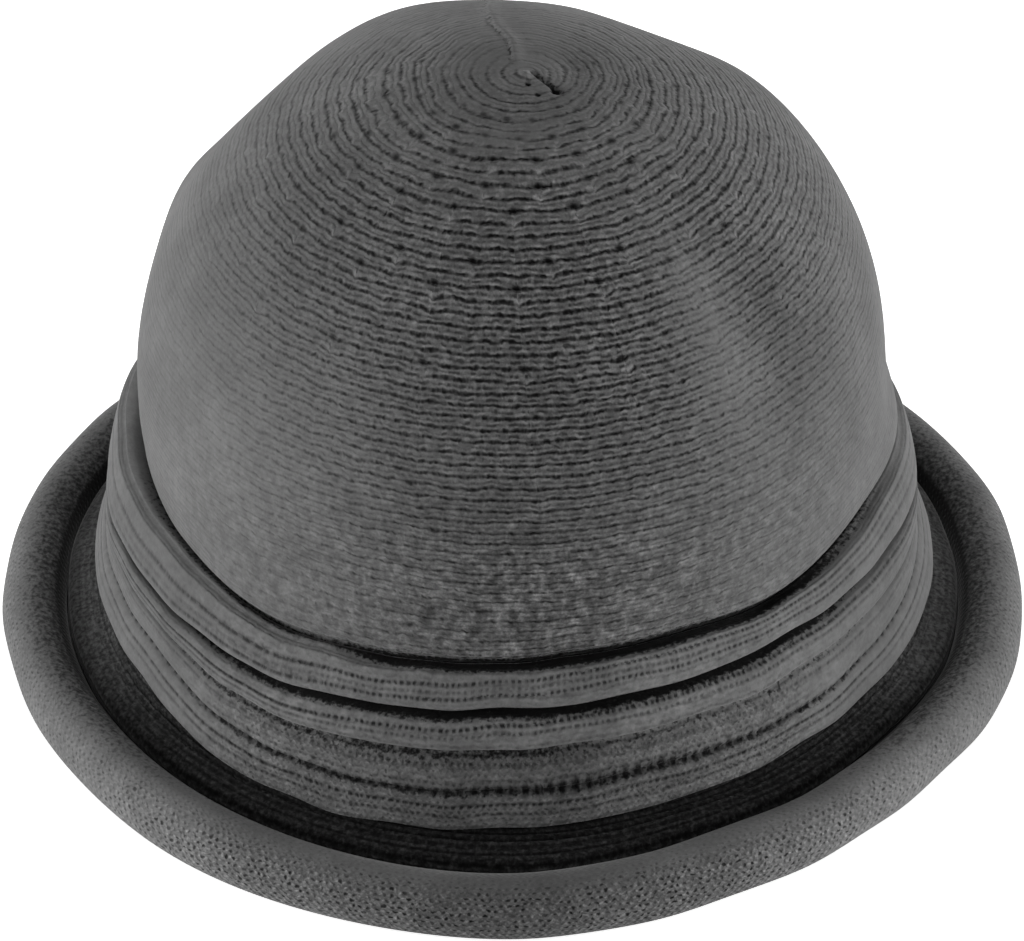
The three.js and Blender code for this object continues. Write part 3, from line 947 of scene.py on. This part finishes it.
class Board:
    """A node tree with short calls to add to it."""

    def __init__(self, tree):
        self.tree = tree

    def put(self, kind, inputs=None, **settings):
        node = self.tree.nodes.new(kind)
        for key, value in settings.items():
            setattr(node, key, value)
        for key, value in (inputs or {}).items():
            self.join(value, node.inputs[key])
        return node

    def join(self, value, socket):
        if isinstance(value, bpy.types.NodeSocket):
            self.tree.links.new(value, socket)
        else:
            socket.default_value = value

    def math(self, operation, *values):
        return self.put("ShaderNodeMath", dict(enumerate(values)), operation=operation).outputs[0]

    def plus(self, a, b):
        return self.math("ADD", a, b)

    def less(self, a, b):
        return self.math("SUBTRACT", a, b)

    def times(self, a, b):
        return self.math("MULTIPLY", a, b)

    def times_plus(self, a, b, c):
        """a times b, plus c."""
        return self.math("MULTIPLY_ADD", a, b, c)

    def vector(self, operation, a, b):
        return self.put("ShaderNodeVectorMath", {0: a, 1: b}, operation=operation).outputs[0]

    def parts(self, vector):
        return self.put("ShaderNodeSeparateXYZ", {0: vector}).outputs

    def slope(self, value, low, high, to_low=0.0, to_high=1.0, smooth=True):
        """Leads a value from to_low at low to to_high at high."""
        kind = "SMOOTHSTEP" if smooth else "LINEAR"
        inputs = {0: value, 1: low, 2: high, 3: to_low, 4: to_high}
        return self.put("ShaderNodeMapRange", inputs, interpolation_type=kind).outputs[0]

    def noise(self, where, scale, detail, rough):
        inputs = {"Vector": where, "Scale": scale, "Detail": detail, "Roughness": rough}
        return self.put("ShaderNodeTexNoise", inputs).outputs["Fac"]

    def wave(self, phase):
        """From 1 to 0 and back for each whole count of the phase."""
        return self.times_plus(self.math("COSINE", self.times(phase, 2 * math.pi)), 0.5, 0.5)

    def chance(self, number):
        return self.put("ShaderNodeTexWhiteNoise", {"W": number}, noise_dimensions="1D").outputs["Value"]

    def mask(self, label):
        return self.put("ShaderNodeAttribute", attribute_name=label).outputs["Fac"]

    def pull(self, number, along, of):
        """How strongly a numbered line of the knitting is drawn, wandering along it in its own way."""
        row = PULLS[of]
        along = self.times_plus(self.chance(number), LINES_APART, self.times(along, row["speed"]))
        inputs = {"W": along, "Scale": 1.0, "Detail": 2.0, "Roughness": 0.6}
        value = self.put("ShaderNodeTexNoise", inputs, noise_dimensions="1D").outputs["Fac"]
        return self.slope(value, row["low"], row["high"], row["weak"], row["strong"])


# How the lines of the knitting wander from weak to strong: how fast along a line, and between which values
# of a noise
LINES_APART = 61.0
PULLS = {
    row["of"]: row
    for row in table(
        "of speed low high weak strong",
        ("gap", 0.6, 0.32, 0.72, 0.4, 1.8),
        ("middle", 0.6, 0.4, 0.64, 0.05, 1.1),
        ("ridge", 0.5, 0.36, 0.66, 0.0, 1.1),
        ("purl", 0.6, 0.34, 0.6, 0.2, 1.0),
        ("dotted", 0.8, 0.3, 0.65, 0.35, 1.2),
        ("sewn", 1.0, 0.3, 0.65, 0.5, 1.5),
    )
}
# From the middle of a wale to its edge: where its middle line ends and the dark line between two wales begins
MIDDLE_ENDS = 0.42
GAP_BEGINS = 0.54
# How much the single stitches show in these lines, and how much is left between them
GAP_STITCHES = (0.4, 0.68)
MIDDLE_STITCHES = (0.12, 0.88)
PURL_SHIFT = 0.4
PURL_DOTS = (0.25, 0.95)
PURL_BARS = (0.4, 1.0)
# Noises of the wool: how many to a metre, in how much detail and how rough
HAIRS = table(
    "of scale detail rough",
    ("fine", 2400.0, 2.0, 0.6),
    ("coarse", 850.0, 2.0, 0.55),
    ("blots", 380.0, 3.0, 0.65),
    ("patches", 240.0, 2.0, 0.6),
    ("cloud", 60.0, 4.0, 0.6),
)


def new_group(name, given, fill):
    """A shader group that is given one vector. fill puts its nodes and returns the values that it gives."""
    tree = bpy.data.node_groups.new(name, "ShaderNodeTree")
    tree.interface.new_socket(given, in_out="INPUT", socket_type="NodeSocketVector")
    board = Board(tree)
    values = fill(board, board.put("NodeGroupInput").outputs[given])
    for label in values:
        tree.interface.new_socket(label, in_out="OUTPUT", socket_type="NodeSocketFloat")
    board.put("NodeGroupOutput", values)
    return tree


def stocking_stitch(board, knit):
    """The right side of the knitting: a dark line between two wales, a weaker one along the middle of each,
    and the rounded legs of the stitches between them, which give painted shade and painted light as well as
    relief."""
    wales, stitches = board.parts(knit)["X"], board.parts(knit)["Y"]
    from_middle = board.times(board.math("ABSOLUTE", board.less(board.math("FRACT", wales), 0.5)), 2.0)
    line = board.math("FLOOR", board.plus(wales, 0.5))
    wale = board.plus(board.math("FLOOR", wales), 0.5)
    leg = board.plus(board.math("FLOOR", board.times(wales, 2.0)), 0.25)
    drawn = []
    for number, of, strong in ((line, "gap", GAP_STITCHES), (wale, "middle", MIDDLE_STITCHES)):
        stitch = board.times_plus(board.wave(board.plus(stitches, board.chance(number))), *strong)
        drawn.append(board.times(board.pull(number, stitches, of), stitch))
    gap = board.times(board.slope(from_middle, GAP_BEGINS, 1.0), drawn[0])
    middle = board.times(board.slope(from_middle, MIDDLE_ENDS, 0.0), drawn[1])
    round_leg = board.math("SINE", board.times(from_middle, math.pi))
    ridge = board.times(round_leg, board.pull(leg, stitches, "ridge"))
    height = board.less(board.times_plus(ridge, 0.5, round_leg), gap)
    return {"Height": height, "Gap": gap, "Middle": middle, "Ridge": ridge}


def purl_side(board, knit):
    """The wrong side of the knitting: short bars over small dark dots, in rows half a stitch apart, which
    give painted light and painted shade as well as relief.
    """
    wales, stitches = board.parts(knit)["X"], board.parts(knit)["Y"]
    doubled = board.times(wales, 2.0)
    row = board.math("FLOOR", doubled)
    shifted = board.times_plus(board.chance(row), PURL_SHIFT, board.times_plus(row, 0.5, stitches))
    across = board.wave(board.plus(doubled, 0.5))
    dots = board.slope(board.times(board.wave(shifted), across), *PURL_DOTS)
    gap = board.times(dots, board.pull(row, stitches, "purl"))
    bars = board.times(board.wave(board.plus(shifted, 0.5)), across)
    return {"Height": board.less(bars, gap), "Gap": gap, "Ridge": board.slope(bars, *PURL_BARS)}


def wool_hairs(board, where):
    """Felted hairs: a fine height and speckle, soft blots, and a cloudy value for colour."""
    fine, coarse, blots, patches, cloud = [
        board.noise(where, row["scale"], row["detail"], row["rough"]) for row in HAIRS
    ]
    height = board.times_plus(fine, 0.5, coarse)
    values = {"Height": height, "Cloud": cloud}
    for label, noise, spread in (
        ("Speckle", height, (0.5, 1.0, -1.0, 1.0)),
        ("Fray", coarse, (0.3, 0.7, -1.0, 1.0)),
        ("Blots", blots, (0.3, 0.7, -1.0, 1.0)),
        ("Patches", patches, (0.38, 0.6, 0.25, 1.25)),
    ):
        values[label] = board.slope(noise, *spread, smooth=False)
    return values


GROUPS = {
    "stocking": new_group("stocking_stitch", "Knit", stocking_stitch),
    "purl": new_group("purl_side", "Knit", purl_side),
    "wool": new_group("wool_hairs", "Where", wool_hairs),
}


def place_group(board, name, inputs):
    return board.put("ShaderNodeGroup", inputs, node_tree=GROUPS[name]).outputs


DOTTED_ROWS = 1.4
DOTS = (0.9, 0.1)
# The crown's felted patches: how drawn out they are, their noise, and between which of its values they fade
PATCHES = {"long": (0.9, 0.35, 0.0), "noise": (1.0, 2.0, 0.6), "spread": (0.4, 0.58, 1.0, -0.25)}
# Painted shade in the short rows' holes, and a little painted light where a line breaks off
HOLE_PAINTED_SHADE = 2.3
BREAK_LIGHT = -0.14
PLAIN_MIDDLE = 0.7
SEWN_HOLES = (0.2, 0.9, 0.22, 1.0)


def dotted_line(board, knit):
    """The painted shade of the line that a seam or a turned stitch leaves along a wale, dotted by its
    stitches.
    """
    wales, stitches = board.parts(knit)["X"], board.parts(knit)["Y"]
    row = board.math("FLOOR", board.times(wales, DOTTED_ROWS))
    stitch = board.wave(board.plus(stitches, board.chance(row)))
    fades = board.times(board.slope(stitch, *DOTS), board.mask("dots"))
    dot = board.times(board.less(1.0, fades), board.pull(row, stitches, "dotted"))
    return board.times(board.mask("line"), dot)


def crown_gaps(board, knit, right):
    """The painted shade of the crown's dark lines, broken and holed where short rows turn back, and in
    patches low down.
    """
    noise = board.noise(board.vector("MULTIPLY", knit, PATCHES["long"]), *PATCHES["noise"])
    patchy = board.times(board.slope(noise, *PATCHES["spread"]), board.mask("felted"))
    gap = board.times(right["Gap"], board.less(1.0, patchy))
    gap = board.times(gap, board.less(1.0, board.mask("breaks")))
    gap = board.math("MAXIMUM", gap, board.times(board.mask("hole"), HOLE_PAINTED_SHADE))
    gap = board.math("MAXIMUM", gap, board.times(right["Middle"], board.mask("second")))
    return board.times_plus(board.mask("breaks"), BREAK_LIGHT, gap)


def plain_gaps(board, knit, right):
    return board.math("MAXIMUM", right["Gap"], board.times(right["Middle"], PLAIN_MIDDLE))


def band_marks(board, knit):
    """Painted shade of the lines along the wales, and of the row of holes that the sewing thread pulls."""
    along = board.parts(knit)["Y"]
    holes = board.slope(board.wave(board.times(along, STITCH_HOLES / BAND_STITCHES)), *SEWN_HOLES)
    holes = board.times(holes, board.pull(0.0, along, "sewn"))
    return board.math("MAXIMUM", dotted_line(board, knit), board.times(holes, board.mask("sewn")))


# The wool's own tone, how much painted shade darkens gaps, lines, holes and creases, and how much painted
# light lightens ridges, in powers of e
YARN = 0.12
GAP_PAINTED_SHADE = -2.6
RIDGE_PAINTED_LIGHT = 0.55
CREASE_PAINTED_SHADE = -3.6
# How strong speckle and blots are where no knitting shows, and the blots on knitting that isn't felted
BARE_SPECKLE = 0.05
BARE_BLOTS = 0.07
KNIT_BLOTS = 0.12
CLOUDS = (0.3, 0.7, -0.14, 0.14)
# How ragged the edge of the painted shade in creases is, and from which crease value on it shows
RAGGED = (0.05, 0.95)
RAGGED_FROM = (0.0, 0.1)
DRIFT = (0.5, 1.1, 0.0)
SHAKES = 0.5
HAIR_HEIGHT = 0.6
HEIGHT_SHOWS = (0.9, 0.1)


def wool_material(name, look, gaps, marks):
    """Charcoal wool knitting, with light and shade painted into its colour. gaps gives the painted shade of
    the dark lines of its right side, marks the painted shade of what else is dark on it. Painted light and
    shade are added up in powers of e, so that a depth is as soft in a lit as in a shaded place."""
    material = bpy.data.materials.new(name)
    material.use_nodes = True
    board = Board(material.node_tree)
    shader = material.node_tree.nodes["Principled BSDF"]
    where = board.put("ShaderNodeTexCoord").outputs["Object"]
    crease, clear, felted, wrong = [board.mask(label) for label in ("crease", "clear", "felted", "wrong")]
    wool = place_group(board, "wool", {"Where": where})

    # The yarn wanders a little from the even grid of the knitting
    knit = board.put("ShaderNodeUVMap", uv_map="knit").outputs[0]
    for scale, far in ((190.0, DRIFT), (700.0, (look["shaky"], SHAKES, 0.0))):
        drift = board.put("ShaderNodeTexNoise", {"Vector": where, "Scale": scale, "Detail": 1.0})
        away = board.vector("SUBTRACT", drift.outputs["Color"], (0.5, 0.5, 0.5))
        away = board.vector("MULTIPLY", away, far)
        knit = board.vector("ADD", knit, away)
    right = place_group(board, "stocking", {"Knit": knit})
    purl = place_group(board, "purl", {"Knit": board.vector("MULTIPLY", knit, (look["purl_rows"], 1.0, 1.0))})

    def side(of_right, of_wrong):
        return board.slope(wrong, 0.0, 1.0, of_right, of_wrong, smooth=False)

    # Painted shade in the gaps and the purl side's dots, and painted light on the ridges of the stitches
    dots = board.times(board.times(purl["Gap"], look["purl"]), wool["Patches"])
    lines = board.times(side(gaps(board, knit, right), dots), GAP_PAINTED_SHADE)
    lines = board.times_plus(side(right["Ridge"], purl["Ridge"]), RIDGE_PAINTED_LIGHT, lines)
    lines = board.times(lines, board.times_plus(felted, -look["matted"], 1.0))
    blots = board.times(wool["Blots"], board.times_plus(felted, look["blots"], KNIT_BLOTS))
    texture = board.times_plus(wool["Speckle"], look["speckle"], board.plus(lines, blots))
    light = board.times_plus(wool["Speckle"], BARE_SPECKLE, board.times(texture, clear))
    light = board.times_plus(wool["Blots"], BARE_BLOTS, light)
    # Painted shade in the band's and brim's lines and holes
    if marks:
        light = board.times_plus(marks(board, knit), GAP_PAINTED_SHADE, light)
    # Painted shade in creases, under the band's hem and in holes, with a ragged edge
    ragged = board.slope(board.times_plus(wool["Fray"], look["ragged"], crease), *RAGGED)
    ragged = board.times(ragged, board.slope(crease, *RAGGED_FROM))
    light = board.times_plus(ragged, CREASE_PAINTED_SHADE, light)
    light = board.plus(light, board.slope(wool["Cloud"], *CLOUDS, smooth=False))
    # Painted light and shade from the tone mask
    light = board.plus(light, board.mask("tone"))
    tone = board.times(board.math("EXPONENT", light), YARN)
    grey = board.put("ShaderNodeCombineXYZ", {0: tone, 1: tone, 2: tone}).outputs[0]
    board.join(grey, shader.inputs["Base Color"])
    shader.inputs["Roughness"].default_value = 0.95
    shader.inputs["Specular IOR Level"].default_value = 0.1
    shader.inputs["Sheen Weight"].default_value = 0.18
    shader.inputs["Sheen Roughness"].default_value = 0.4
    shader.inputs["Sheen Tint"].default_value = (0.6, 0.6, 0.6, 1.0)
    height = board.times(side(right["Height"], purl["Height"]), look["depth"])
    height = board.times_plus(wool["Height"], HAIR_HEIGHT, height)
    height = board.times(height, board.times_plus(clear, *HEIGHT_SHOWS))
    normal = board.put("ShaderNodeBump", {"Height": height, "Distance": 0.0005, "Strength": 0.8})
    board.join(normal.outputs["Normal"], shader.inputs["Normal"])
    return material


# How far the yarn shakes, how much felting hides the lines, how strong blots and speckle are, how deep the
# relief is, how dark the painted shade of the purl side's rows is and how close they are, and how ragged the
# painted shade of the creases ends
CROWN_LOOK, BAND_LOOK, BRIM_LOOK = table(
    "shaky matted blots speckle depth purl purl_rows ragged",
    (0.32, 0.5, 1.25, 0.3, 0.8, 0.6, 1.0, 0.4),
    (0.4, 0.6, 0.6, 0.26, 0.5, 0.9, 1.2, 0.4),
    (0.45, 0.8, 0.6, 0.5, 0.7, 0.85, 1.0, 0.2),
)


# The room: a pale floor, soft light from both sides, and the camera
CAMERA_AWAY = 1300.0
CAMERA_RISE = 37.53
CAMERA_AIM = (0, 1.0, 44.64)
CAMERA_LENS = 178.75
CAMERA_SENSOR = 36.0
FLOOR_SIZE = 6.0
FLOOR_AT = -0.0004
# How bright the floor glows, and how much more the floor and the room do for the camera alone
FLOOR_GLOW = 0.34
FLOOR_SEEN = 0.5
ROOM_SEEN = 0.9
LIGHTS_AIM = (0, 0, 0.08)
LIGHTS = table(
    "name at size power",
    ("left_low_light", (-1.35, 0.0, 0.16), (0.7, 0.25), 16.8),
    ("right_low_light", (1.35, 0.0, 0.16), (0.7, 0.25), 15.2),
    ("top_light", (0, 0.1, 1.6), (0.7, 0.7), 7.6),
    ("back_light", (0, 1.3, 0.7), (0.7, 0.7), 5.8),
    ("front_high_light", (0, -1.1, 1.2), (0.7, 0.7), 4.8),
    ("front_low_light", (0, -1.4, 0.16), (0.7, 0.25), 2.2),
)


def make_floor():
    bpy.ops.mesh.primitive_plane_add(size=FLOOR_SIZE, location=(0, 0, FLOOR_AT))
    floor = bpy.context.object
    floor.name = "floor"
    material = bpy.data.materials.new("pale_floor")
    material.use_nodes = True
    board = Board(material.node_tree)
    shader = material.node_tree.nodes["Principled BSDF"]
    shader.inputs["Base Color"].default_value = (0.9, 0.9, 0.9, 1.0)
    shader.inputs["Roughness"].default_value = 0.9
    shader.inputs["Specular IOR Level"].default_value = 0.0
    shader.inputs["Emission Color"].default_value = (1.0, 1.0, 1.0, 1.0)
    seen = board.put("ShaderNodeLightPath").outputs["Is Camera Ray"]
    board.join(board.times_plus(seen, FLOOR_SEEN, FLOOR_GLOW), shader.inputs["Emission Strength"])
    floor.data.materials.append(material)


def make_light():
    world = bpy.data.worlds.new("studio")
    bpy.context.scene.world = world
    world.use_nodes = True
    board = Board(world.node_tree)
    background = world.node_tree.nodes["Background"]
    background.inputs["Color"].default_value = (1.0, 1.0, 1.0, 1.0)
    seen = board.put("ShaderNodeLightPath").outputs["Is Camera Ray"]
    board.join(board.times(seen, ROOM_SEEN), background.inputs["Strength"])
    for row in LIGHTS:
        data = bpy.data.lights.new(row["name"], "AREA")
        data.shape = "RECTANGLE"
        data.size, data.size_y = row["size"]
        data.energy = row["power"]
        light = bpy.data.objects.new(row["name"], data)
        light.location = row["at"]
        toward = Vector(LIGHTS_AIM) - Vector(row["at"])
        light.rotation_euler = toward.to_track_quat("-Z", "Y").to_euler()
        bpy.context.scene.collection.objects.link(light)


def make_camera():
    data = bpy.data.cameras.new("camera")
    data.lens = CAMERA_LENS
    data.sensor_width = CAMERA_SENSOR
    camera = bpy.data.objects.new("camera", data)
    rise = math.radians(CAMERA_RISE)
    away = Vector((0, -math.cos(rise), math.sin(rise))) * CAMERA_AWAY
    camera.location = (Vector(CAMERA_AIM) + away) * MM
    camera.rotation_euler = (-away).to_track_quat("-Z", "Y").to_euler()
    bpy.context.scene.collection.objects.link(camera)
    bpy.context.scene.camera = camera
    bpy.context.scene.view_settings.view_transform = "Standard"


make_camera()
make_light()
make_floor()

crown = make_crown()
crown.data.materials.append(wool_material("crown_wool", CROWN_LOOK, crown_gaps, None))
band = make_band()
band.data.materials.append(wool_material("band_wool", BAND_LOOK, plain_gaps, band_marks))
brim = make_brim()
brim.data.materials.append(wool_material("brim_wool", BRIM_LOOK, plain_gaps, dotted_line))

for piece, node, slot in (
    (crown, "crown", "crown_knit"),
    (band, "tucked_band", "band_knit"),
    (brim, "rolled_brim", "brim_knit"),
):
    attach(piece, "root")
    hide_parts(node)
